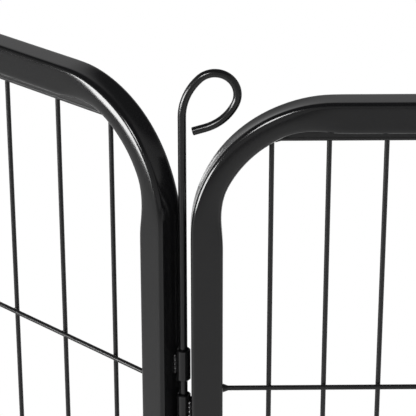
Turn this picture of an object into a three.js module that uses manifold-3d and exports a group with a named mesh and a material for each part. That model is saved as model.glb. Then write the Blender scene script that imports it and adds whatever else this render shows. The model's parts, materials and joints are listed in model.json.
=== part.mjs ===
// A pet playpen: eight framed wire panels pinned into a regular ring by looped rods.
// Panel 1 has a gate with a sliding bolt.
// Millimetres, +Z up. The origin is the centre of the ring, on the surface that it stands on.
// Panels are numbered anticlockwise seen from above, and panel 2 faces -Y.

import * as THREE from "three";
import { mergeVertices } from "three/addons/utils/BufferGeometryUtils.js";
import Module from "manifold-3d";

const wasm = await Module();
wasm.setup();

// Ring and frames
const panelCount = 8;
const gatePanel = 1;
const panelWidth = 810;
const panelHeight = 800;
const tubeSide = 15;
const tubeChamfer = 2;
const bendRadius = 65; // outside of the frame's bends
const bendSteps = 4;
const fitGap = 0.3; // air between pieces that touch

// Hinge rods and sleeves
const rodDiameter = 3.9;
const rodSides = 6;
const rodTipHeight = 3;
const loopRise = -9.9; // where the rod starts to bend, above the top of the frame
const leadRadius = 25;
const leadTurn = 47; // degrees
const loopRadius = 10.3;
const loopTurn = 159; // degrees
const closingRadius = 22;
const closingTurn = 48; // degrees
const loopTail = 6;
const arcStep = 20; // degrees between the stations of a bent rod
const sleeveClearance = 0.45; // air between a rod and its sleeves, all round
const sleeveWall = 1;
const sleeveLength = 16;
const sleeveSpacing = 8; // air between the two sleeves of a pair
const sleeveInset = 128; // from the frame's top and bottom to the nearest sleeve
const sleeveSides = 6;
const hingeInset = 3.4; // the rods' axes stand this far inwards of the panels' mid-planes

// Wires
const wireSide = 2.2;
const wireWeld = 0.3; // welded wires press into each other by this much
const railWireGap = 3.3; // inside of a rail to the middle of the wire beside it
const gridInset = 4.4; // inside of a rail to where the spacing of the rows starts
const rowBays = 6;
const columnCount = 29;
const columnInset = 22.2; // inside of a side tube to the first wire

// Gate
const gateRoundSides = 8;
const gateSideColumns = 5; // wires on each side of the gate
const gateColumnInset = 25.4;
const gateSidePitch = 37.5;
const gateMiddleBays = 9;
const surroundSide = 8;
const surroundRowGap = 10; // wire row to the middle of the surround's bar
const leafSide = 6;
const leafGap = 3;
const gateFirstRow = 1;
const gateLastRow = 5;
const gatePinRadius = 1.8;
const gatePinClearance = 0.6;
const gateEyeWall = 1.6;
const gateEyeHeight = 10;
const gatePinInset = 60; // from the leaf's top and bottom to its hinge arms
const armHeight = 5;
const armReach = 6;
const armHalf = 1.7;
const boltRadius = 2.4;
const boltClearance = 0.6;
const boltBlockWall = 1.5;
const boltTravel = 16;
const boltGuideLength = 22;
const boltKnobRadius = 4;
const boltKnobLength = 14;

// Derived sizes
const sleeveBore = rodDiameter + 2 * sleeveClearance;
const sleeveDiameter = sleeveBore + 2 * sleeveWall;
const hingeGap = sleeveDiameter / 2 + fitGap; // rod axis to the end face of a frame
const panelPitch = panelWidth + 2 * hingeGap;
const ringTurn = (2 * Math.PI) / panelCount;
const ringApothem = panelPitch / 2 / Math.tan(ringTurn / 2);
const midY = -hingeInset;
const innerLeft = hingeGap + tubeSide;
const innerRight = hingeGap + panelWidth - tubeSide;
const innerBendRadius = bendRadius - tubeSide;
// The flats of a faceted bend stand in from its corners, so wires stay inside this radius.
const clearBendRadius = innerBendRadius * Math.cos(Math.PI / 4 / bendSteps);
const bottomWire = tubeSide + railWireGap;
const topWire = panelHeight - bottomWire;
const gridBottom = tubeSide + gridInset;
const rowPitch = (panelHeight - 2 * gridBottom) / rowBays;
const rowY = midY - wireSide - fitGap; // rows pass on the outside of the columns
const railWireY = midY - wireSide + wireWeld; // rail wires too, welded to every column

const blackCoat = { color: 0x1c1c1e, roughness: 0.35, metalness: 0.55 };
const material = () => new THREE.MeshStandardMaterial(blackCoat);

// Solids and booleans

function solidOf(geometry) {
  const bare = geometry.index ? geometry.toNonIndexed() : geometry.clone();
  bare.deleteAttribute("normal");
  bare.deleteAttribute("uv");
  const merged = mergeVertices(bare, 1e-4);
  return new wasm.Manifold(
    new wasm.Mesh({
      numProp: 3,
      vertProperties: merged.attributes.position.array,
      triVerts: new Uint32Array(merged.index.array),
    }),
  );
}

function geometryOf(solid) {
  const mesh = solid.getMesh();
  const count = mesh.numVert;
  const positions = new Float32Array(3 * count);
  for (let i = 0; i < count; i++) {
    const start = i * mesh.numProp;
    positions.set(mesh.vertProperties.subarray(start, start + 3), 3 * i);
  }
  const geometry = new THREE.BufferGeometry();
  geometry.setAttribute("position", new THREE.BufferAttribute(positions, 3));
  geometry.setIndex(new THREE.BufferAttribute(new Uint32Array(mesh.triVerts), 1));
  geometry.computeVertexNormals();
  return geometry;
}

function join(solids) {
  return solids.reduce((whole, piece) => whole.add(piece));
}

function block(x0, x1, y0, y1, z0, z1) {
  const geometry = new THREE.BoxGeometry(x1 - x0, y1 - y0, z1 - z0);
  geometry.translate((x0 + x1) / 2, (y0 + y1) / 2, (z0 + z1) / 2);
  return solidOf(geometry);
}

// A regular polygon whose corners lie on the circle of the given radius.
function polygon(radius, sides) {
  const points = [];
  for (let i = 0; i < sides; i++) {
    const angle = ((i + 0.5) / sides) * 2 * Math.PI;
    points.push(new THREE.Vector2(radius * Math.cos(angle), radius * Math.sin(angle)));
  }
  return points;
}

// A round bar, or a tube where a bore is given, standing on the z = 0 plane.
function roundBar(radius, length, sides, boreRadius = 0) {
  const outline = new THREE.Shape(polygon(radius, sides));
  if (boreRadius > 0) {
    outline.holes.push(new THREE.Path(polygon(boreRadius, sides)));
  }
  return new THREE.ExtrudeGeometry(outline, { depth: length, bevelEnabled: false });
}

// Sweeps a section along stations in the XZ plane. Each station has a place (x, z) and the
// direction (nx, nz) that lies on the right of travel. A section point is [rightwards, +Y].
function sweep(stations, section, midPlane, closed) {
  const positions = [];
  const indices = [];
  const sides = section.length;
  const count = stations.length;
  for (const station of stations) {
    for (const [across, depth] of section) {
      positions.push(
        station.x + across * station.nx,
        midPlane + depth,
        station.z + across * station.nz,
      );
    }
  }
  const spans = closed ? count : count - 1;
  for (let i = 0; i < spans; i++) {
    const here = i * sides;
    const next = ((i + 1) % count) * sides;
    for (let j = 0; j < sides; j++) {
      const k = (j + 1) % sides;
      indices.push(here + j, next + k, next + j);
      indices.push(here + j, here + k, next + k);
    }
  }
  if (!closed) {
    const last = (count - 1) * sides;
    for (let j = 1; j < sides - 1; j++) {
      indices.push(0, j + 1, j);
      indices.push(last, last + j, last + j + 1);
    }
  }
  const geometry = new THREE.BufferGeometry();
  geometry.setAttribute("position", new THREE.Float32BufferAttribute(positions, 3));
  geometry.setIndex(indices);
  geometry.computeVertexNormals();
  return geometry;
}

// Frame of a panel: one closed loop of square tube with four bends

function tubeSection() {
  const half = tubeSide / 2;
  const flat = half - tubeChamfer;
  return [
    [half, -flat],
    [half, flat],
    [flat, half],
    [-flat, half],
    [-half, flat],
    [-half, -flat],
    [-flat, -half],
    [flat, -half],
  ];
}

function frameGeometry() {
  const radius = bendRadius - tubeSide / 2;
  const left = hingeGap + bendRadius;
  const right = hingeGap + panelWidth - bendRadius;
  const low = bendRadius;
  const high = panelHeight - bendRadius;
  const centres = [
    [right, low],
    [right, high],
    [left, high],
    [left, low],
  ];
  const stations = [];
  centres.forEach(([x, z], corner) => {
    for (let i = 0; i <= bendSteps; i++) {
      const angle = ((corner - 1 + i / bendSteps) * Math.PI) / 2;
      const nx = Math.cos(angle);
      const nz = Math.sin(angle);
      stations.push({ x: x + radius * nx, z: z + radius * nz, nx, nz });
    }
  });
  return sweep(stations, tubeSection(), midY, true);
}

// How far the inside of a bend stands in from the rail, at a given distance from the side tube.
function bendDrop(inset) {
  const reach = Math.max(innerBendRadius - inset, 0);
  return innerBendRadius - Math.sqrt(clearBendRadius ** 2 - reach ** 2);
}

// Wires of a panel, in the panel's frame

const half = wireSide / 2;
const rowHeight = (row) => gridBottom + row * rowPitch;
const column = (x, z0, z1) => block(x - half, x + half, midY - half, midY + half, z0, z1);
const bar = (y, z, x0, x1) => block(x0, x1, y - half, y + half, z - half, z + half);
const row = (z, x0, x1) => bar(rowY, z, x0, x1);
const weld = (x, z) => block(x - half, x + half, rowY, midY, z - half, z + half);

function columnEnds(x) {
  const inset = Math.min(x - innerLeft, innerRight - x) - half;
  const drop = bendDrop(inset);
  const inTheBend = drop > railWireGap - half;
  const end = tubeSide + (inTheBend ? drop + fitGap : railWireGap);
  return [end, panelHeight - end];
}

function railWires() {
  const reach = innerBendRadius - railWireGap + half;
  const inset = innerBendRadius - Math.sqrt(clearBendRadius ** 2 - reach ** 2) + fitGap;
  return [bottomWire, topWire].map((z) => bar(railWireY, z, innerLeft + inset, innerRight - inset));
}

// The outermost wires end on the bends, so the first and last rows hold them.
function rowWelds(columns, i) {
  const outer = columns.length - 1;
  const held = i === 1 || i === rowBays - 1 ? [0, 1, outer - 1, outer] : [1, outer - 1];
  return held.map((k) => weld(columns[k], rowHeight(i)));
}

function evenly(count, first, last) {
  return Array.from({ length: count }, (_, i) => first + ((last - first) * i) / (count - 1));
}

function gridGeometry() {
  const columns = evenly(columnCount, innerLeft + columnInset, innerRight - columnInset);
  const pieces = railWires();
  for (const x of columns) {
    pieces.push(column(x, ...columnEnds(x)));
  }
  for (let i = 1; i < rowBays; i++) {
    pieces.push(row(rowHeight(i), innerLeft + fitGap, innerRight - fitGap));
    pieces.push(...rowWelds(columns, i));
  }
  return geometryOf(join(pieces));
}

// Gate panel

const gateLeft = innerLeft + gateColumnInset + gateSideColumns * gateSidePitch;
const gateRight = innerRight - gateColumnInset - gateSideColumns * gateSidePitch;
const gateBottom = rowHeight(gateFirstRow) + surroundRowGap;
const gateTop = rowHeight(gateLastRow) - surroundRowGap;
const surroundHalf = surroundSide / 2;
const leafLeft = gateLeft + surroundHalf + leafGap;
const leafRight = gateRight - surroundHalf - leafGap;
const leafBottom = gateBottom + surroundHalf + leafGap;
const leafTop = gateTop - surroundHalf - leafGap;
const leafFaceY = midY - leafSide / 2;
const gateEyeBore = gatePinRadius + gatePinClearance;
const gateEyeRadius = gateEyeBore + gateEyeWall;
const gateAxisX = gateLeft + surroundHalf + leafGap / 2;
const gateAxisY = leafFaceY - fitGap - gateEyeRadius; // the eyes stand clear of the leaf's face
const pinHeights = [leafBottom + gatePinInset, leafTop - gatePinInset];
const boltBore = boltRadius + boltClearance;
const boltBlockHalf = boltBore + boltBlockWall;
const boltHeight = (leafBottom + leafTop) / 2;
const boltY = leafFaceY - fitGap - boltBlockHalf;
const boltTip = leafRight - fitGap; // at rest the bolt is drawn back into its guide
const boltGuideStart = boltTip - boltGuideLength;
const boltStart = boltGuideStart - fitGap - boltTravel - boltKnobRadius;

function middleColumns() {
  return evenly(gateMiddleBays + 1, gateLeft, gateRight);
}

function gateGridGeometry() {
  const sides = Array.from({ length: gateSideColumns }, (_, i) => i * gateSidePitch);
  const left = sides.map((step) => innerLeft + gateColumnInset + step);
  const right = sides.map((step) => innerRight - gateColumnInset - step).reverse();
  const columns = [...left, ...right];
  const pieces = railWires();
  for (const x of columns) {
    pieces.push(column(x, ...columnEnds(x)));
  }
  const clear = surroundHalf + fitGap;
  for (const x of middleColumns()) {
    pieces.push(column(x, bottomWire, gateBottom - clear));
    pieces.push(column(x, gateTop + clear, topWire));
  }
  for (let i = 1; i < rowBays; i++) {
    const z = rowHeight(i);
    const crossesGate = i > gateFirstRow && i < gateLastRow;
    if (crossesGate) {
      pieces.push(row(z, innerLeft + fitGap, gateLeft - clear));
      pieces.push(row(z, gateRight + clear, innerRight - fitGap));
    } else {
      pieces.push(row(z, innerLeft + fitGap, innerRight - fitGap));
    }
    pieces.push(...rowWelds(columns, i));
  }
  return geometryOf(join(pieces));
}

// A flat rectangular ring of square bar. The four sizes are its outer edges.
function barRing(x0, x1, z0, z1, side) {
  const y0 = midY - side / 2;
  const y1 = midY + side / 2;
  return block(x0, x1, y0, y1, z0, z1).subtract(
    block(x0 + side, x1 - side, y0 - side, y1 + side, z0 + side, z1 - side),
  );
}

function gateEye(z) {
  const eye = roundBar(gateEyeRadius, gateEyeHeight, gateRoundSides);
  eye.translate(gateAxisX, gateAxisY, z - gateEyeHeight);
  const neck = block(
    gateLeft - surroundHalf,
    gateAxisX - leafGap / 2,
    gateAxisY - gateEyeRadius / 2,
    midY,
    z - gateEyeHeight,
    z,
  );
  return solidOf(eye).add(neck);
}

function gateEyeHole(z) {
  const hole = roundBar(gateEyeBore, 3 * gateEyeHeight, gateRoundSides);
  hole.translate(gateAxisX, gateAxisY, z - 2 * gateEyeHeight);
  return solidOf(hole);
}

function alongX(geometry, x, y, z) {
  geometry.rotateY(Math.PI / 2);
  geometry.translate(x, y, z);
  return solidOf(geometry);
}

function surroundGeometry() {
  let ring = barRing(
    gateLeft - surroundHalf,
    gateRight + surroundHalf,
    gateBottom - surroundHalf,
    gateTop + surroundHalf,
    surroundSide,
  );
  for (const z of pinHeights) {
    ring = ring.add(gateEye(z)).subtract(gateEyeHole(z));
  }
  const keeper = block(
    gateRight - surroundHalf,
    gateRight + surroundHalf,
    boltY - boltBlockHalf,
    midY,
    boltHeight - boltBlockHalf,
    boltHeight + boltBlockHalf,
  );
  const bore = roundBar(boltBore, 2 * surroundSide, gateRoundSides);
  ring = ring.add(keeper).subtract(alongX(bore, gateRight - surroundSide, boltY, boltHeight));
  return geometryOf(ring);
}

// An arm of the leaf lies on the eye whose top is at height z, and its pin hangs into the eye.
function gateArm(z) {
  const low = z + fitGap;
  const high = low + armHeight;
  const end = leafLeft + armReach;
  const arm = block(gateAxisX - armHalf, end, gateAxisY - armHalf, gateAxisY + armHalf, low, high);
  const web = block(leafLeft, end, gateAxisY, midY, low, high);
  const pin = roundBar(gatePinRadius, gateEyeHeight + armHeight / 2, gateRoundSides);
  pin.translate(gateAxisX, gateAxisY, low - gateEyeHeight);
  return join([arm, web, solidOf(pin)]);
}

function leafGeometry() {
  const pieces = [barRing(leafLeft, leafRight, leafBottom, leafTop, leafSide)];
  for (const x of middleColumns().slice(1, -1)) {
    pieces.push(column(x, leafBottom + leafSide / 2, leafTop - leafSide / 2));
  }
  for (let i = gateFirstRow + 1; i < gateLastRow; i++) {
    pieces.push(bar(midY, rowHeight(i), leafLeft + leafSide / 2, leafRight - leafSide / 2));
  }
  pieces.push(...pinHeights.map(gateArm));
  return geometryOf(join(pieces));
}

function boltGuideGeometry() {
  const guide = block(
    boltGuideStart,
    boltTip,
    boltY - boltBlockHalf,
    boltY + boltBlockHalf,
    boltHeight - boltBlockHalf,
    boltHeight + boltBlockHalf,
  );
  const bore = roundBar(boltBore, 2 * boltGuideLength, gateRoundSides);
  const start = boltGuideStart - boltGuideLength / 2;
  return geometryOf(guide.subtract(alongX(bore, start, boltY, boltHeight)));
}

function boltGeometry() {
  const shaft = roundBar(boltRadius, boltTip - boltStart, gateRoundSides);
  const knob = roundBar(boltKnobRadius, boltKnobLength, gateRoundSides);
  knob.rotateX(Math.PI / 2);
  knob.translate(boltStart, boltY + boltRadius, boltHeight);
  return geometryOf(alongX(shaft, boltStart, boltY, boltHeight).add(solidOf(knob)));
}

// Hinge rods and sleeves, standing on the axis at x = y = 0

function rodStations() {
  const stations = [];
  let heading = 0;
  let x = 0;
  let z = rodTipHeight;
  const mark = () => {
    stations.push({ x, z, nx: Math.cos(heading), nz: -Math.sin(heading) });
  };
  const go = (distance) => {
    x += distance * Math.sin(heading);
    z += distance * Math.cos(heading);
    mark();
  };
  const turn = (radius, degrees) => {
    const steps = Math.ceil(degrees / arcStep);
    const step = THREE.MathUtils.degToRad(degrees / steps);
    for (let i = 0; i < steps; i++) {
      const next = heading + step;
      x += radius * (Math.cos(heading) - Math.cos(next));
      z += radius * (Math.sin(next) - Math.sin(heading));
      heading = next;
      mark();
    }
  };
  mark();
  go(panelHeight + loopRise - rodTipHeight);
  turn(leadRadius, leadTurn);
  turn(loopRadius, loopTurn);
  turn(closingRadius, closingTurn);
  go(loopTail);
  return stations;
}

function rodGeometry() {
  const section = polygon(rodDiameter / 2, rodSides).map((point) => [point.x, point.y]);
  return sweep(rodStations(), section, 0, false);
}

// The upper sleeve of a pair belongs to the panel that ends at the rod, the lower sleeve to the
// panel that starts there.
const pairHeight = 2 * sleeveLength + sleeveSpacing;
const pairBottoms = {
  top: panelHeight - sleeveInset - pairHeight,
  bottom: sleeveInset,
};

function sleeve(name, x, z) {
  const geometry = roundBar(sleeveDiameter / 2, sleeveLength, sleeveSides, sleeveBore / 2);
  const mesh = new THREE.Mesh(geometry, material());
  mesh.name = name;
  mesh.position.set(x, 0, z);
  return mesh;
}

function named(name, geometry) {
  const mesh = new THREE.Mesh(geometry, material());
  mesh.name = name;
  return mesh;
}

// A whole panel in its own frame: the rod at its start is at x = 0, and +Y is the pen's inside.
function panel(number) {
  const group = new THREE.Group();
  const isGate = number === gatePanel;
  group.add(named(`panel_${number}_frame`, frameGeometry()));
  group.add(named(`panel_${number}_wires`, isGate ? gateGridGeometry() : gridGeometry()));
  group.add(named(`rod_${number}`, rodGeometry()));
  for (const [level, z] of Object.entries(pairBottoms)) {
    group.add(sleeve(`panel_${number}_start_sleeve_${level}`, 0, z));
    const upper = z + sleeveLength + sleeveSpacing;
    group.add(sleeve(`panel_${number}_end_sleeve_${level}`, panelPitch, upper));
  }
  if (isGate) {
    group.add(named("gate_surround", surroundGeometry()));
    group.add(named("gate_leaf", leafGeometry()));
    group.add(named("gate_bolt_guide", boltGuideGeometry()));
    group.add(named("gate_bolt", boltGeometry()));
  }
  return group;
}

const playpen = new THREE.Group();
for (let number = 1; number <= panelCount; number++) {
  const heading = (number - 2) * ringTurn;
  const start = new THREE.Vector3(-panelPitch / 2, -ringApothem, 0);
  start.applyAxisAngle(new THREE.Vector3(0, 0, 1), heading);
  const placed = panel(number);
  placed.position.copy(start);
  placed.rotation.z = heading;
  playpen.add(placed);
}

export default playpen;
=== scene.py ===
import json
import math
import random

import bmesh
import bpy
from mathutils import Matrix, Vector


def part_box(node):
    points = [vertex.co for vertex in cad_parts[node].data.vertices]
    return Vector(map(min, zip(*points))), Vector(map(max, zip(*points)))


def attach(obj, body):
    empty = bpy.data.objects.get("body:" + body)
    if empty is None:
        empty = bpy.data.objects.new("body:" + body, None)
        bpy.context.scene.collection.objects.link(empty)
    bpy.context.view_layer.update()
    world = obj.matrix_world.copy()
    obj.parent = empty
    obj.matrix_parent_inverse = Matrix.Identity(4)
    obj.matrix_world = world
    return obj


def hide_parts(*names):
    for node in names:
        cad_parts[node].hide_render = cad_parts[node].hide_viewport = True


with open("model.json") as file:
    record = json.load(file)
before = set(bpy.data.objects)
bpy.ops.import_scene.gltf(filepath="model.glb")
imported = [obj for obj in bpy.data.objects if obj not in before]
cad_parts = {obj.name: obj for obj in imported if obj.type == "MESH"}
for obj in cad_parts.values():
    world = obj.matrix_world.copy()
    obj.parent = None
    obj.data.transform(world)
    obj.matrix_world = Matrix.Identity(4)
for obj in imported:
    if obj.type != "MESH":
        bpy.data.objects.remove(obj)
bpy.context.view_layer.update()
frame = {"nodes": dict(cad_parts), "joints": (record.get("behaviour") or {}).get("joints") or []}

MM = 0.001
PANELS = 8
GATE_PANEL = 1
random.seed(7)

# Frame tube
TUBE_EDGE = 2.1 * MM  # radius of the tube's long edges
BEND_RADIUS = 65 * MM  # outside of the frame's bends
BEND_STEPS = 30
DENT_DEPTH = 2.6 * MM  # how far the inner wall is pressed in along a bend
DENT_EDGE = 3.6 * MM  # radius of the tube's inner edges where it is pressed
DENT_LEAD = 7 * MM  # the dent starts this far before the bend
DENT_RAMP = 34 * MM
DENT_HOLLOW = 0.8 * MM  # the pressed wall is hollow by this much
SIDE_CROWN = 1.2 * MM  # the side walls fall away by this much at the edges of a bend
OUTER_DISH = 0.7 * MM  # the outer wall is hollow by this much in a bend

# Rods and sleeves
ROD_RADIUS = 1.95 * MM
ROD_TIP = 3 * MM
ROD_POINT = 9 * MM
LOOP_RISE = -9.9 * MM
LEAD_RADIUS = 25 * MM
LEAD_TURN = math.radians(47)
LOOP_RADIUS = 10.3 * MM
LOOP_TURN = math.radians(159)
CLOSING_RADIUS = 22 * MM
CLOSING_TURN = math.radians(48)
LOOP_TAIL = 6 * MM
SLEEVE_RADIUS = 3.4 * MM
SLEEVE_BORE = 2.4 * MM
SLEEVE_CHAMFER = 0.4 * MM

# Wires
WIRE_RADIUS = 1.2 * MM
WIRE_SIDES = 12
ROW_EMBED = 0.35 * MM  # crossing wires are pressed into each other by this much
RAIL_WIRE_GAP = 3.3 * MM
WIRE_WELD = 0.3 * MM
GRID_INSET = 4.4 * MM  # inside of a rail to where the spacing of the rows starts
ROW_BAYS = 6
COLUMNS = 29
COLUMN_INSET = 22.2 * MM
WIRE_BOW = 0.25 * MM
SEAM_HALF = 0.9 * MM  # half the depth of the seam between a rail wire and the rail
SEAM_EMBED = 0.3 * MM
FLARE_REACH = 2.6 * MM
FLARE_WIDTH = 1.75  # of the wire's own radius
CROSSING_RADIUS = 1.5 * MM
CROSSING_DEPTH = 0.8 * MM

# Gate
GATE_SIDE_COLUMNS = 5
GATE_COLUMN_INSET = 25.4 * MM
GATE_SIDE_PITCH = 37.5 * MM
GATE_BAYS = 9
SURROUND_SIDE = 8 * MM
LEAF_SIDE = 6 * MM
BAR_EDGE = 1.2 * MM
PIN_RADIUS = 1.8 * MM
EYE_RADIUS = 4 * MM
EYE_BORE = 2.4 * MM
EYE_HEIGHT = 10 * MM
PIN_INSET = 60 * MM
ARM_HEIGHT = 5 * MM
ARM_HALF = 1.7 * MM
ARM_REACH = 6 * MM
BOLT_RADIUS = 2.4 * MM
BOLT_BORE = 3 * MM
BLOCK_EDGE = 1 * MM
KNOB_RADIUS = 4 * MM
FIT_GAP = 0.3 * MM

# The ring, from the frame: the corners' axes are the hinges of the record
hinges = {j["name"]: Vector(j["pos_m"]) for j in frame["joints"] if j["type"] == "hinge"}
corners = {k: hinges[f"corner_{k}_hinge"] for k in range(2, PANELS + 1)}
corners[1] = -corners[1 + PANELS // 2]
corners[PANELS + 1] = corners[1]
panel_pitch = (corners[3] - corners[2]).length
front_low, front_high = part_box("panel_2_frame")
PANEL_HEIGHT = front_high.z
PANEL_WIDTH = front_high.x - front_low.x
TUBE = front_high.y - front_low.y
HINGE_GAP = (panel_pitch - PANEL_WIDTH) / 2
MID_Y = (front_low.y + front_high.y) / 2 - corners[2].y
INNER_LEFT = HINGE_GAP + TUBE
INNER_RIGHT = HINGE_GAP + PANEL_WIDTH - TUBE
INNER_BEND = BEND_RADIUS - TUBE
BOTTOM_WIRE = TUBE + RAIL_WIRE_GAP
TOP_WIRE = PANEL_HEIGHT - BOTTOM_WIRE
GRID_BOTTOM = TUBE + GRID_INSET
ROW_PITCH = (PANEL_HEIGHT - 2 * GRID_BOTTOM) / ROW_BAYS
RAIL_WIRE_Y = MID_Y - 2 * WIRE_RADIUS + WIRE_WELD
ROW_Y = MID_Y - 2 * WIRE_RADIUS + ROW_EMBED


def panel_matrix(number):
    start = corners[number]
    along = corners[number + 1] - start
    turn = Matrix.Rotation(math.atan2(along.y, along.x), 4, "Z")
    return Matrix.Translation((start.x, start.y, 0)) @ turn


def smooth(value):
    value = min(max(value, 0), 1)
    return value * value * (3 - 2 * value)


# Mesh helpers

def new_object(name, mesh, matrix=Matrix.Identity(4)):
    piece = bpy.data.objects.new(name, mesh)
    bpy.context.scene.collection.objects.link(piece)
    piece.matrix_world = matrix
    return piece


def finish_mesh(name, bm, sharp_degrees=40):
    bmesh.ops.recalc_face_normals(bm, faces=bm.faces)
    mesh = bpy.data.meshes.new(name)
    bm.to_mesh(mesh)
    bm.free()
    mesh.shade_smooth()
    mesh.set_sharp_from_angle(angle=math.radians(sharp_degrees))
    return mesh


def add_ring(bm, points):
    return [bm.verts.new(p) for p in points]


def bridge(bm, first, second):
    count = len(first)
    for i in range(count):
        j = (i + 1) % count
        bm.faces.new((first[i], first[j], second[j], second[i]))


def circle(centre, across, up, radius, sides):
    step = 2 * math.pi / sides
    return [
        centre + radius * (math.cos(i * step) * across + math.sin(i * step) * up)
        for i in range(sides)
    ]


def add_tube(bm, stations, sides):
    """Rings of given radius along planar stations (place, direction, radius), closed at both ends."""
    side = Vector((0, 1, 0))
    rings = []
    for place, heading, radius in stations:
        up = side.cross(heading) if abs(heading.y) < 0.5 else Vector((0, 0, 1))
        across = side if abs(heading.y) < 0.5 else Vector((1, 0, 0))
        rings.append(add_ring(bm, circle(place, across, up, radius, sides)))
    for first, second in zip(rings, rings[1:]):
        bridge(bm, first, second)
    bm.faces.new(rings[0])
    bm.faces.new(rings[-1])


def add_rod(bm, start, end, radius, sides=WIRE_SIDES, chamfer=0.0, bow=0.0):
    """A straight round bar with optional chamfered ends and a slight bow across its length."""
    run = end - start
    heading = run.normalized()
    lean = heading.cross(Vector((0, 1, 0))).normalized() if abs(heading.y) < 0.5 else Vector((1, 0, 0))
    stations = []
    if chamfer:
        stations.append((start, heading, radius - chamfer))
    steps = 4 if bow else 1
    for i in range(steps + 1):
        t = i / steps
        place = start + heading * (chamfer + (run.length - 2 * chamfer) * t)
        stations.append((place + lean * bow * math.sin(math.pi * t), heading, radius))
    if chamfer:
        stations.append((end, heading, radius - chamfer))
    add_tube(bm, stations, sides)


def add_cone(bm, start, end, start_radius, end_radius, sides=WIRE_SIDES):
    heading = (end - start).normalized()
    add_tube(bm, [(start, heading, start_radius), (end, heading, end_radius)], sides)


def add_blob(bm, centre, radii, detail=2):
    scale = Matrix.Diagonal((*radii, 1))
    bmesh.ops.create_icosphere(
        bm, subdivisions=detail, radius=1, matrix=Matrix.Translation(centre) @ scale
    )


def add_block(bm, low, high, edge):
    middle = (Vector(low) + Vector(high)) / 2
    size = Vector(high) - Vector(low)
    made = bmesh.ops.create_cube(
        bm, size=1, matrix=Matrix.Translation(middle) @ Matrix.Diagonal((*size, 1))
    )
    edges = {e for v in made["verts"] for e in v.link_edges}
    bmesh.ops.bevel(
        bm, geom=list(edges), offset=edge, segments=3, profile=0.5, affect="EDGES"
    )


def rounded_outline(half_x, half_y, radius, steps):
    """Points of a rectangle with round corners, anticlockwise."""
    points = []
    for quarter in range(4):
        sx = 1 if quarter in (0, 3) else -1
        sy = 1 if quarter in (0, 1) else -1
        for i in range(steps + 1):
            angle = math.pi / 2 * (quarter + i / steps)
            points.append(
                (
                    sx * (half_x - radius) + radius * math.cos(angle),
                    sy * (half_y - radius) + radius * math.sin(angle),
                )
            )
    return points


def block_outline(half):
    """A square with round corners and points along its sides, to go round a bore."""
    bend_steps = 7
    side_steps = 12
    bends = rounded_outline(half, half, BLOCK_EDGE, bend_steps)
    points = []
    for i, (u, v) in enumerate(bends):
        after_u, after_v = bends[(i + 1) % len(bends)]
        count = side_steps if i % (bend_steps + 1) == bend_steps else 1
        for k in range(count):
            t = k / count
            points.append((u + (after_u - u) * t, v + (after_v - v) * t))
    return points


def add_collar(bm, outer, inner, place):
    """A hollow prism between two outlines of equal count. place(u, v, w) gives a point, w 0 to 1."""
    rings = [
        add_ring(bm, [place(u, v, w) for u, v in outline])
        for outline, w in ((inner, 0), (outer, 0), (outer, 1), (inner, 1))
    ]
    for i in range(4):
        bridge(bm, rings[i], rings[(i + 1) % 4])


# Frames: a loop of square tube, pressed in along its bends

def tube_section(press):
    """Section of the tube, (outwards, depth). press runs from 0 on a straight to 1 in a bend."""
    half = TUBE / 2
    inner = half - DENT_DEPTH * press
    inner_edge = TUBE_EDGE + (DENT_EDGE - TUBE_EDGE) * press
    quarters = (
        (half, half, TUBE_EDGE),
        (-inner, half, inner_edge),
        (-inner, -half, inner_edge),
        (half, -half, TUBE_EDGE),
    )
    points = []
    edge_steps = 7
    wall_steps = 9
    for quarter, (x, y, edge) in enumerate(quarters):
        centre_x = x - math.copysign(edge, x)
        centre_y = y - math.copysign(edge, y)
        for i in range(edge_steps + 1):
            angle = math.pi / 2 * (quarter + i / edge_steps)
            points.append((centre_x + edge * math.cos(angle), centre_y + edge * math.sin(angle)))
        next_x, next_y, next_edge = quarters[(quarter + 1) % 4]
        start_x, start_y = points[-1]
        if quarter in (0, 2):
            end_x, end_y = next_x - math.copysign(next_edge, next_x), start_y
        else:
            end_x, end_y = start_x, next_y - math.copysign(next_edge, next_y)
        for i in range(1, wall_steps):
            t = i / wall_steps
            points.append((start_x + (end_x - start_x) * t, start_y + (end_y - start_y) * t))
    middle = (half - inner) / 2
    width = (half + inner) / 2
    return [form(x, y, (x - middle) / width, y / half, press) for x, y in points]


def form(x, y, across, depth, press):
    """Moves a point of a section to where a bend takes it. across and depth are -1 to 1."""
    wall = 0.9  # a point this far across lies on the outer or the inner wall
    hollow = press * max(1 - depth**2, 0)
    if across > wall:
        x -= OUTER_DISH * hollow
    if across < -wall:
        x += DENT_HOLLOW * hollow
    return (x, y - depth * press * SIDE_CROWN * across**2)


def dent_at(distance, length):
    """How far the tube is pressed, from the distance along a bend of the given length."""
    inwards = min(distance, length - distance)
    return smooth((inwards + DENT_LEAD) / DENT_RAMP)


def frame_stations():
    """Places round the frame: (x, z, outward normal x, z, press)."""
    radius = BEND_RADIUS - TUBE / 2
    left = HINGE_GAP + BEND_RADIUS
    right = HINGE_GAP + PANEL_WIDTH - BEND_RADIUS
    centres = (
        (right, BEND_RADIUS),
        (right, PANEL_HEIGHT - BEND_RADIUS),
        (left, PANEL_HEIGHT - BEND_RADIUS),
        (left, BEND_RADIUS),
    )
    length = radius * math.pi / 2
    stations = []
    for corner, (x, z) in enumerate(centres):
        first = math.pi / 2 * (corner - 1)
        last = first + math.pi / 2
        for i in range(-4, BEND_STEPS + 5):
            t = min(max(i / BEND_STEPS, 0), 1)
            angle = first + (last - first) * t
            nx, nz = math.cos(angle), math.sin(angle)
            beyond = DENT_LEAD * (min(i, 0) + max(i - BEND_STEPS, 0)) / 4
            distance = t * length + beyond
            stations.append(
                (
                    x + radius * nx - beyond * nz,
                    z + radius * nz + beyond * nx,
                    nx,
                    nz,
                    dent_at(distance, length),
                )
            )
    return stations


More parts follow.
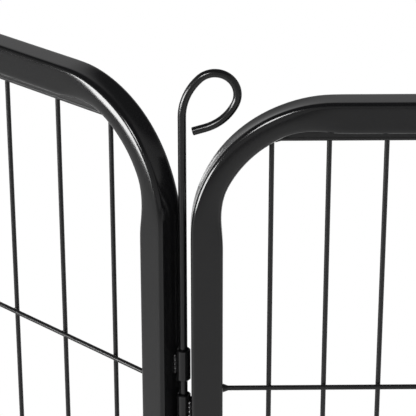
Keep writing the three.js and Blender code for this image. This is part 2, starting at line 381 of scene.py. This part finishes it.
def frame_mesh():
    bm = bmesh.new()
    rings = []
    for x, z, nx, nz, press in frame_stations():
        ring = [
            Vector((x + across * nx, MID_Y + depth, z + across * nz))
            for across, depth in tube_section(press)
        ]
        rings.append(add_ring(bm, ring))
    for i, ring in enumerate(rings):
        bridge(bm, ring, rings[(i + 1) % len(rings)])
    return finish_mesh("panel_frame", bm, 180)


# Wires

def bend_reach(rise):
    """Distance of the pressed inner wall from the bend's centre line, at a height above the centre."""
    radius = INNER_BEND + DENT_DEPTH + DENT_HOLLOW
    return math.sqrt(max(radius**2 - rise**2, 0))


def column_end(x):
    inset = min(x - INNER_LEFT, INNER_RIGHT - x)
    rise = bend_reach(INNER_BEND - inset) if inset < INNER_BEND else INNER_BEND
    drop = INNER_BEND - rise
    return TUBE + drop if drop > RAIL_WIRE_GAP else BOTTOM_WIRE


def jitter(amount):
    return random.uniform(-amount, amount)


def add_column(bm, x, low, high):
    bow = jitter(WIRE_BOW)
    add_rod(bm, Vector((x, MID_Y, low)), Vector((x, MID_Y, high)), WIRE_RADIUS, bow=bow)


def add_flare(bm, place, outwards):
    """The weld that swells where a wire meets the frame."""
    reach = FLARE_REACH + jitter(0.5 * MM)
    width = WIRE_RADIUS * (FLARE_WIDTH + jitter(0.2))
    sunk = 0.4 * MM
    add_cone(bm, place - outwards * reach, place + outwards * sunk, WIRE_RADIUS, width)


def add_row(bm, z, low, high, y=ROW_Y, flare_low=True, flare_high=True):
    start = Vector((low, y, z))
    end = Vector((high, y, z))
    add_rod(bm, start, end, WIRE_RADIUS, bow=jitter(WIRE_BOW))
    if flare_low:
        add_flare(bm, start, Vector((-1, 0, 0)))
    if flare_high:
        add_flare(bm, end, Vector((1, 0, 0)))


def add_crossings(bm, columns, z, y=ROW_Y):
    for x in columns:
        size = CROSSING_RADIUS + jitter(0.2 * MM)
        add_blob(bm, Vector((x, (y + MID_Y) / 2, z)), (size, CROSSING_DEPTH, size), 1)


def add_rail_wires(bm, columns):
    inset = INNER_BEND - bend_reach(INNER_BEND - RAIL_WIRE_GAP)
    for z in (BOTTOM_WIRE, TOP_WIRE):
        add_row(bm, z, INNER_LEFT + inset, INNER_RIGHT - inset, RAIL_WIRE_Y)
        inner = [x for x in columns if inset < x - INNER_LEFT < INNER_RIGHT - INNER_LEFT - inset]
        add_crossings(bm, inner, z, RAIL_WIRE_Y)
        add_seam(bm, z, inset, 1 if z == BOTTOM_WIRE else -1)


def add_seam(bm, z, inset, inwards):
    """Weld and coat that fill the narrow gap between a rail wire and the rail."""
    rail = z - inwards * RAIL_WIRE_GAP
    width = INNER_RIGHT - INNER_LEFT
    steps = 24
    curved = [inset + (INNER_BEND + DENT_RAMP - inset) * i / steps for i in range(steps + 1)]
    stations = curved + [width - at for at in reversed(curved)]
    rings = []
    for at in stations:
        edge = rail + inwards * (rail_rise(min(at, width - at)) - SEAM_EMBED)
        outline = (
            (RAIL_WIRE_Y - SEAM_HALF, z),
            (RAIL_WIRE_Y + SEAM_HALF, z),
            (RAIL_WIRE_Y + SEAM_HALF, edge),
            (RAIL_WIRE_Y - SEAM_HALF, edge),
        )
        rings.append(add_ring(bm, [Vector((INNER_LEFT + at, y, height)) for y, height in outline]))
    for first, second in zip(rings, rings[1:]):
        bridge(bm, first, second)
    bm.faces.new(rings[0])
    bm.faces.new(rings[-1])


def rail_rise(inset):
    """How far the inner wall stands in from the straight rail's, at a distance from the post."""
    if inset < INNER_BEND:
        return INNER_BEND - bend_reach(INNER_BEND - inset)
    share = dent_at(INNER_BEND - inset, BEND_RADIUS * math.pi / 2)
    return -share * (DENT_DEPTH + DENT_HOLLOW)


def row_height(row):
    return GRID_BOTTOM + row * ROW_PITCH


def spread(first, last, bays):
    return [first + (last - first) * i / bays for i in range(bays + 1)]


def grid_mesh():
    bm = bmesh.new()
    columns = spread(INNER_LEFT + COLUMN_INSET, INNER_RIGHT - COLUMN_INSET, COLUMNS - 1)
    add_rail_wires(bm, columns)
    for x in columns:
        add_column(bm, x, column_end(x), PANEL_HEIGHT - column_end(x))
    for row in range(1, ROW_BAYS):
        add_row(bm, row_height(row), INNER_LEFT, INNER_RIGHT)
        add_crossings(bm, columns, row_height(row))
    return finish_mesh("panel_wires", bm)


# Gate panel, placed from the boxes of its CAD nodes in the panel's own frame

def local_box(node):
    inverse = panel_matrix(GATE_PANEL).inverted()
    points = [inverse @ v.co for v in frame["nodes"][node].data.vertices]
    low = Vector([min(p[i] for p in points) for i in range(3)])
    high = Vector([max(p[i] for p in points) for i in range(3)])
    return low, high


surround_low, surround_high = local_box("gate_surround")
leaf_low, leaf_high = local_box("gate_leaf")
guide_low, guide_high = local_box("gate_bolt_guide")
bolt_low, bolt_high = local_box("gate_bolt")
GATE_LEFT = surround_low.x + SURROUND_SIDE / 2
GATE_RIGHT = surround_high.x - SURROUND_SIDE / 2
GATE_BOTTOM = surround_low.z + SURROUND_SIDE / 2
GATE_TOP = surround_high.z - SURROUND_SIDE / 2
LEAF_GAP = surround_high.x - SURROUND_SIDE - leaf_high.x
LEAF_LEFT = surround_low.x + SURROUND_SIDE + LEAF_GAP
LEAF_RIGHT = leaf_high.x
AXIS_X = surround_low.x + SURROUND_SIDE + LEAF_GAP / 2
AXIS_Y = MID_Y - LEAF_SIDE / 2 - FIT_GAP - EYE_RADIUS
PIN_HEIGHTS = (leaf_low.z + PIN_INSET, leaf_high.z - PIN_INSET)
BOLT_Y = (guide_low.y + guide_high.y) / 2
BOLT_Z = (guide_low.z + guide_high.z) / 2


def gate_grid_mesh():
    bm = bmesh.new()
    steps = [i * GATE_SIDE_PITCH for i in range(GATE_SIDE_COLUMNS)]
    left = [INNER_LEFT + GATE_COLUMN_INSET + step for step in steps]
    right = [INNER_RIGHT - GATE_COLUMN_INSET - step for step in steps]
    middle = spread(GATE_LEFT, GATE_RIGHT, GATE_BAYS)
    add_rail_wires(bm, left + middle + right)
    for x in left + right:
        add_column(bm, x, column_end(x), PANEL_HEIGHT - column_end(x))
    for x in middle:
        add_column(bm, x, BOTTOM_WIRE, GATE_BOTTOM - SURROUND_SIDE / 2)
        add_column(bm, x, GATE_TOP + SURROUND_SIDE / 2, TOP_WIRE)
    for row in range(1, ROW_BAYS):
        z = row_height(row)
        if GATE_BOTTOM < z < GATE_TOP:
            add_row(bm, z, INNER_LEFT, GATE_LEFT - SURROUND_SIDE / 2)
            add_row(bm, z, GATE_RIGHT + SURROUND_SIDE / 2, INNER_RIGHT)
            add_crossings(bm, left + right, z)
        else:
            add_row(bm, z, INNER_LEFT, INNER_RIGHT)
            add_crossings(bm, left + middle + right, z)
    return finish_mesh("gate_panel_wires", bm)


def add_bar_ring(bm, low_x, high_x, low_z, high_z, side):
    """A rectangular ring of square bar with round edges and tight bends."""
    bend = side * 1.25
    half = side / 2
    section = rounded_outline(half, half, BAR_EDGE, 4)
    corners_xz = (
        (high_x - bend, low_z + bend),
        (high_x - bend, high_z - bend),
        (low_x + bend, high_z - bend),
        (low_x + bend, low_z + bend),
    )
    rings = []
    steps = 8
    for corner, (x, z) in enumerate(corners_xz):
        for i in range(steps + 1):
            angle = math.pi / 2 * (corner - 1 + i / steps)
            nx, nz = math.cos(angle), math.sin(angle)
            reach = bend - half
            ring = [
                Vector((x + (reach + a) * nx, MID_Y + d, z + (reach + a) * nz)) for a, d in section
            ]
            rings.append(add_ring(bm, ring))
    for i, ring in enumerate(rings):
        bridge(bm, ring, rings[(i + 1) % len(rings)])


def surround_mesh():
    bm = bmesh.new()
    add_bar_ring(
        bm, surround_low.x, surround_high.x, surround_low.z, surround_high.z, SURROUND_SIDE
    )
    eye = [(EYE_RADIUS * math.cos(a), EYE_RADIUS * math.sin(a)) for a in turns(32)]
    bore = [(EYE_BORE * math.cos(a), EYE_BORE * math.sin(a)) for a in turns(32)]
    for top in PIN_HEIGHTS:
        add_collar(
            bm,
            eye,
            bore,
            lambda u, v, w, top=top: Vector((AXIS_X + u, AXIS_Y + v, top - EYE_HEIGHT * (1 - w))),
        )
        neck_high = (AXIS_X - EYE_BORE - 0.4 * MM, MID_Y, top - 0.3 * MM)
        neck_low = (surround_low.x + 0.5 * MM, AXIS_Y - EYE_RADIUS / 2, top - EYE_HEIGHT + 0.3 * MM)
        add_block(bm, neck_low, neck_high, 0.6 * MM)
    half = (guide_high.z - guide_low.z) / 2
    outer = block_outline(half)
    inner = matching_circle(outer, BOLT_BORE)
    keeper_low = surround_high.x - SURROUND_SIDE
    add_collar(
        bm,
        outer,
        inner,
        lambda u, v, w: Vector((keeper_low + SURROUND_SIDE * w, BOLT_Y + u, BOLT_Z + v)),
    )
    return finish_mesh("gate_surround", bm)


def turns(count):
    return [2 * math.pi * i / count for i in range(count)]


def matching_circle(outline, radius):
    """A circle with one point on the ray to each point of an outline round the origin."""
    angles = [math.atan2(v, u) for u, v in outline]
    return [(radius * math.cos(a), radius * math.sin(a)) for a in angles]


def leaf_mesh():
    bm = bmesh.new()
    add_bar_ring(bm, LEAF_LEFT, LEAF_RIGHT, leaf_low.z, leaf_high.z, LEAF_SIDE)
    half = LEAF_SIDE / 2
    columns = spread(GATE_LEFT, GATE_RIGHT, GATE_BAYS)[1:-1]
    for x in columns:
        add_column(bm, x, leaf_low.z + half, leaf_high.z - half)
    for row in range(1, ROW_BAYS):
        z = row_height(row)
        if GATE_BOTTOM < z < GATE_TOP:
            add_row(bm, z, LEAF_LEFT + LEAF_SIDE, LEAF_RIGHT - LEAF_SIDE, MID_Y)
            add_crossings(bm, columns, z, MID_Y)
    for top in PIN_HEIGHTS:
        base = top + FIT_GAP
        low = Vector((AXIS_X - ARM_HALF, AXIS_Y - ARM_HALF, base))
        high = Vector((LEAF_LEFT + ARM_REACH, AXIS_Y + ARM_HALF, base + ARM_HEIGHT))
        add_block(bm, low, high, 0.5 * MM)
        web_low = (LEAF_LEFT + FIT_GAP, AXIS_Y, base)
        web_high = (LEAF_LEFT + ARM_REACH, MID_Y, base + ARM_HEIGHT)
        add_block(bm, web_low, web_high, 0.5 * MM)
        pin_start = Vector((AXIS_X, AXIS_Y, top - EYE_HEIGHT + FIT_GAP))
        pin_end = Vector((AXIS_X, AXIS_Y, base + ARM_HEIGHT / 2))
        add_rod(bm, pin_start, pin_end, PIN_RADIUS, 24, chamfer=0.5 * MM)
    return finish_mesh("gate_leaf", bm)


def guide_mesh():
    bm = bmesh.new()
    half = (guide_high.z - guide_low.z) / 2
    outer = block_outline(half)
    length = guide_high.x - guide_low.x
    add_collar(
        bm,
        outer,
        matching_circle(outer, BOLT_BORE),
        lambda u, v, w: Vector((guide_low.x + length * w, BOLT_Y + u, BOLT_Z + v)),
    )
    return finish_mesh("gate_bolt_guide", bm)


def bolt_mesh():
    bm = bmesh.new()
    knob_x = bolt_low.x + KNOB_RADIUS
    start = Vector((knob_x, BOLT_Y, BOLT_Z))
    end = Vector((bolt_high.x, BOLT_Y, BOLT_Z))
    add_rod(bm, start, end, BOLT_RADIUS, 24, chamfer=0.7 * MM)
    front = bolt_low.y
    stations = [
        (bolt_high.y, 0.8),
        (front + 7 * MM, 0.62),
        (front + 5.5 * MM, 0.7),
        (front + 4 * MM, 0.92),
        (front + 2 * MM, 0.98),
        (front + 0.8 * MM, 0.85),
        (front + 0.2 * MM, 0.55),
    ]
    profile = [
        (Vector((knob_x, y, BOLT_Z)), Vector((0, -1, 0)), KNOB_RADIUS * share)
        for y, share in stations
    ]
    add_tube(bm, profile, 24)
    return finish_mesh("gate_bolt", bm)


# Rods and sleeves, on the axis at x = y = 0 of a panel

def rod_mesh():
    stations = [
        (Vector((0, 0, ROD_TIP)), Vector((0, 0, 1)), ROD_RADIUS * 0.18),
        (Vector((0, 0, ROD_TIP + ROD_POINT)), Vector((0, 0, 1)), ROD_RADIUS),
    ]
    place = Vector((0, 0, PANEL_HEIGHT + LOOP_RISE))
    heading = 0.0
    forward = Vector((0, 0, 1))
    stations.append((place.copy(), forward, ROD_RADIUS))
    bends = (
        (LEAD_RADIUS, LEAD_TURN),
        (LOOP_RADIUS, LOOP_TURN),
        (CLOSING_RADIUS, CLOSING_TURN),
    )
    for radius, turn in bends:
        steps = math.ceil(turn / math.radians(5))
        for _ in range(steps):
            after = heading + turn / steps
            place = place + radius * Vector(
                (math.cos(heading) - math.cos(after), 0, math.sin(after) - math.sin(heading))
            )
            heading = after
            forward = Vector((math.sin(heading), 0, math.cos(heading)))
            stations.append((place.copy(), forward, ROD_RADIUS))
    burr = 0.25 * MM
    stations.append((place + forward * (LOOP_TAIL - burr), forward, ROD_RADIUS))
    stations.append((place + forward * LOOP_TAIL, forward, ROD_RADIUS - burr))
    bm = bmesh.new()
    add_tube(bm, stations, 24)
    return finish_mesh("rod", bm)


def sleeve_mesh(length):
    bm = bmesh.new()
    cut = SLEEVE_CHAMFER
    profile = (
        (SLEEVE_BORE, cut),
        (SLEEVE_BORE + cut, 0),
        (SLEEVE_RADIUS - cut, 0),
        (SLEEVE_RADIUS, cut),
        (SLEEVE_RADIUS, length - cut),
        (SLEEVE_RADIUS - cut, length),
        (SLEEVE_BORE + cut, length),
        (SLEEVE_BORE, length - cut),
    )
    across, up = Vector((1, 0, 0)), Vector((0, 1, 0))
    rings = [add_ring(bm, circle(Vector((0, 0, z)), across, up, r, 32)) for r, z in profile]
    for i, ring in enumerate(rings):
        bridge(bm, ring, rings[(i + 1) % len(rings)])
    return finish_mesh("sleeve", bm, 30)


def bead_mesh(length, side):
    """A short weld between a sleeve and its tube. side is 1 where the tube lies towards +X."""
    bm = bmesh.new()
    count = 4
    first, last = 0.28 * length, 0.72 * length
    off_tube = 0.55 * MM
    off_axis = 2.3 * MM
    for face in (-1, 1):
        for i in range(count):
            z = first + (last - first) * i / (count - 1)
            centre = Vector((side * (HINGE_GAP - off_tube), face * off_axis, z))
            size = (1.15 + jitter(0.15)) * MM
            add_blob(bm, centre, (size, 1.3 * MM, 1.9 * MM))
    return finish_mesh("weld_bead", bm)


# Materials

def principled(name, colour, roughness):
    material = bpy.data.materials.new(name)
    material.use_nodes = True
    shader = material.node_tree.nodes["Principled BSDF"]
    shader.inputs["Base Color"].default_value = (*colour, 1)
    shader.inputs["Roughness"].default_value = roughness
    shader.inputs["Metallic"].default_value = 0
    shader.inputs["Specular IOR Level"].default_value = 0.4
    return material, material.node_tree, shader


def powder_coat(name, colour, roughness, grain_scale, grain_depth):
    """Black powder coat: fine orange peel, and gloss that varies a little over the surface."""
    material, tree, shader = principled(name, colour, roughness)
    nodes, links = tree.nodes, tree.links
    place = nodes.new("ShaderNodeTexCoord")
    peel = nodes.new("ShaderNodeTexNoise")
    peel.inputs["Scale"].default_value = grain_scale
    peel.inputs["Detail"].default_value = 2
    patches = nodes.new("ShaderNodeTexNoise")
    patches.inputs["Scale"].default_value = 35
    patches.inputs["Detail"].default_value = 3
    gloss = nodes.new("ShaderNodeMapRange")
    gloss.inputs["To Min"].default_value = roughness * 0.8
    gloss.inputs["To Max"].default_value = roughness * 1.25
    bump = nodes.new("ShaderNodeBump")
    bump.inputs["Strength"].default_value = 0.35
    bump.inputs["Distance"].default_value = grain_depth
    links.new(place.outputs["Object"], peel.inputs["Vector"])
    links.new(place.outputs["Object"], patches.inputs["Vector"])
    links.new(patches.outputs["Fac"], gloss.inputs["Value"])
    links.new(gloss.outputs["Result"], shader.inputs["Roughness"])
    links.new(peel.outputs["Fac"], bump.inputs["Height"])
    links.new(bump.outputs["Normal"], shader.inputs["Normal"])
    return material


frame_coat = powder_coat("frame_coat", (0.006, 0.006, 0.0065), 0.14, 700, 0.00001)
wire_coat = powder_coat("wire_coat", (0.006, 0.006, 0.0065), 0.32, 1400, 0.000006)
rod_coat = powder_coat("rod_coat", (0.006, 0.006, 0.0065), 0.22, 1100, 0.000006)

SLOTS = {"frame_coat": frame_coat, "wire_coat": wire_coat, "rod_coat": rod_coat}


def place_piece(name, mesh, matrix, body, slot, *replaced):
    mesh = mesh.copy()
    mesh.materials.clear()
    mesh.materials.append(SLOTS[slot])
    piece = new_object(name, mesh, matrix)
    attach(piece, body)
    if replaced:
        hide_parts(*replaced)
    return piece


# The pen

frame_shape = frame_mesh()
grid_shape = grid_mesh()
gate_grid_shape = gate_grid_mesh()
rod_shape = rod_mesh()
sleeve_low, sleeve_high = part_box("panel_2_start_sleeve_top")
SLEEVE_LENGTH = sleeve_high.z - sleeve_low.z
sleeve_shape = sleeve_mesh(SLEEVE_LENGTH)
bead_shapes = {"start": bead_mesh(SLEEVE_LENGTH, 1), "end": bead_mesh(SLEEVE_LENGTH, -1)}

for number in range(1, PANELS + 1):
    body = f"panel_{number}"
    matrix = panel_matrix(number)
    wires = gate_grid_shape if number == GATE_PANEL else grid_shape
    frame_node = f"{body}_frame"
    wires_node = f"{body}_wires"
    place_piece(f"{body}_tube", frame_shape, matrix, body, "frame_coat", frame_node)
    place_piece(f"{body}_infill", wires, matrix, body, "wire_coat", wires_node)
    rod = f"rod_{number}"
    place_piece(f"{rod}_looped", rod_shape, matrix, rod, "rod_coat", rod)
    for end, x in (("start", 0), ("end", panel_pitch)):
        for level in ("top", "bottom"):
            node = f"{body}_{end}_sleeve_{level}"
            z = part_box(node)[0].z
            spot = matrix @ Matrix.Translation((x, 0, z))
            place_piece(f"{node}_tube", sleeve_shape, spot, body, "rod_coat", node)
            bead = f"{body}_{end}_weld_{level}"
            place_piece(bead, bead_shapes[end], spot, body, "frame_coat")

gate_matrix = panel_matrix(GATE_PANEL)
gate_pieces = (
    ("gate_surround", surround_mesh(), "panel_1", "frame_coat"),
    ("gate_leaf", leaf_mesh(), "gate", "wire_coat"),
    ("gate_bolt_guide", guide_mesh(), "gate", "frame_coat"),
    ("gate_bolt", bolt_mesh(), "gate_bolt", "rod_coat"),
)
for node, mesh, body, slot in gate_pieces:
    place_piece(f"{node}_finished", mesh, gate_matrix, body, slot, node)


# Floor, light and camera

def make_floor():
    bm = bmesh.new()
    bmesh.ops.create_grid(bm, x_segments=1, y_segments=1, size=9)
    mesh = finish_mesh("floor", bm)
    material, _, shader = principled("floor_paint", (0.8, 0.8, 0.8), 0.7)
    mesh.materials.append(material)
    floor = new_object("floor", mesh)


def area_light(name, place, target, size, power):
    data = bpy.data.lights.new(name, "AREA")
    data.shape = "RECTANGLE"
    data.size, data.size_y = size
    data.energy = power
    light = new_object(name, data, Matrix.Translation(place))
    aim = (Vector(target) - Vector(place)).to_track_quat("-Z", "Y")
    light.rotation_mode = "QUATERNION"
    light.rotation_quaternion = aim
    light.visible_camera = False
    light.visible_diffuse = False
    return light


def studio_world():
    """White to the camera; to the object, a pale room with a dark ceiling."""
    world = bpy.data.worlds.new("studio")
    bpy.context.scene.world = world
    world.use_nodes = True
    nodes, links = world.node_tree.nodes, world.node_tree.links
    backdrop = nodes["Background"]
    backdrop.inputs["Color"].default_value = (1, 1, 1, 1)
    room = nodes.new("ShaderNodeBackground")
    place = nodes.new("ShaderNodeTexCoord")
    split = nodes.new("ShaderNodeSeparateXYZ")
    ramp = nodes.new("ShaderNodeValToRGB")
    ramp.color_ramp.elements[0].position = 0.0
    ramp.color_ramp.elements[0].color = (0.6, 0.6, 0.6, 1)
    ramp.color_ramp.elements[1].position = 0.75
    ramp.color_ramp.elements[1].color = (0.02, 0.02, 0.02, 1)
    for height, tone in ((0.22, 0.42), (0.5, 0.36), (0.66, 0.03)):
        ramp.color_ramp.elements.new(height).color = (tone, tone, tone, 1)
    path = nodes.new("ShaderNodeLightPath")
    mix = nodes.new("ShaderNodeMixShader")
    links.new(place.outputs["Generated"], split.inputs["Vector"])
    links.new(split.outputs["Z"], ramp.inputs["Fac"])
    links.new(ramp.outputs["Color"], room.inputs["Color"])
    links.new(path.outputs["Is Camera Ray"], mix.inputs["Fac"])
    links.new(room.outputs["Background"], mix.inputs[1])
    links.new(backdrop.outputs["Background"], mix.inputs[2])
    links.new(mix.outputs["Shader"], nodes["World Output"].inputs["Surface"])


CAMERA_OFFSET = Vector((0.0031, -0.8216, 0.2945))  # from the top of the corner's axis
CAMERA_YAW = math.radians(0.61)
CAMERA_PITCH = math.radians(23.03)
CAMERA_ROLL = math.radians(0.07)
CAMERA_LENS = 166.7
CAMERA_REACH = 1.5  # the close-up takes in only the corner, not the far side of the ring


def make_camera():
    data = bpy.data.cameras.new("camera")
    data.sensor_width = 36
    data.lens = CAMERA_LENS
    data.clip_start = 0.05
    data.clip_end = CAMERA_REACH
    camera = new_object("camera", data)
    turn = Matrix.Rotation(-CAMERA_YAW, 4, "Z")
    tilt = Matrix.Rotation(math.pi / 2 - CAMERA_PITCH, 4, "X")
    roll = Matrix.Rotation(-CAMERA_ROLL, 4, "Z")
    camera.matrix_world = Matrix.Translation(corner_top + CAMERA_OFFSET) @ turn @ tilt @ roll
    bpy.context.scene.camera = camera


make_floor()
studio_world()
# The three small lights only show as reflections, on the left bend, its edges and the right bend
corner_top = Vector((corners[2].x, corners[2].y, PANEL_HEIGHT))
area_light("left", corner_top + Vector((-2.02, -0.75, 0.02)), corner_top, (1.2, 0.8), 72)
area_light("key", corner_top + Vector((-1.0, -1.85, 1.3)), corner_top, (0.7, 0.7), 40)
area_light("behind", corner_top + Vector((-1.5, 3.1, -0.45)), corner_top, (0.5, 0.7), 4)
overhead = area_light("overhead", (0, 0, 3.5), (0, 0, 0), (7, 7), 290)
overhead.visible_diffuse = True
overhead.visible_glossy = False
make_camera()
bpy.context.scene.view_settings.view_transform = "Standard"
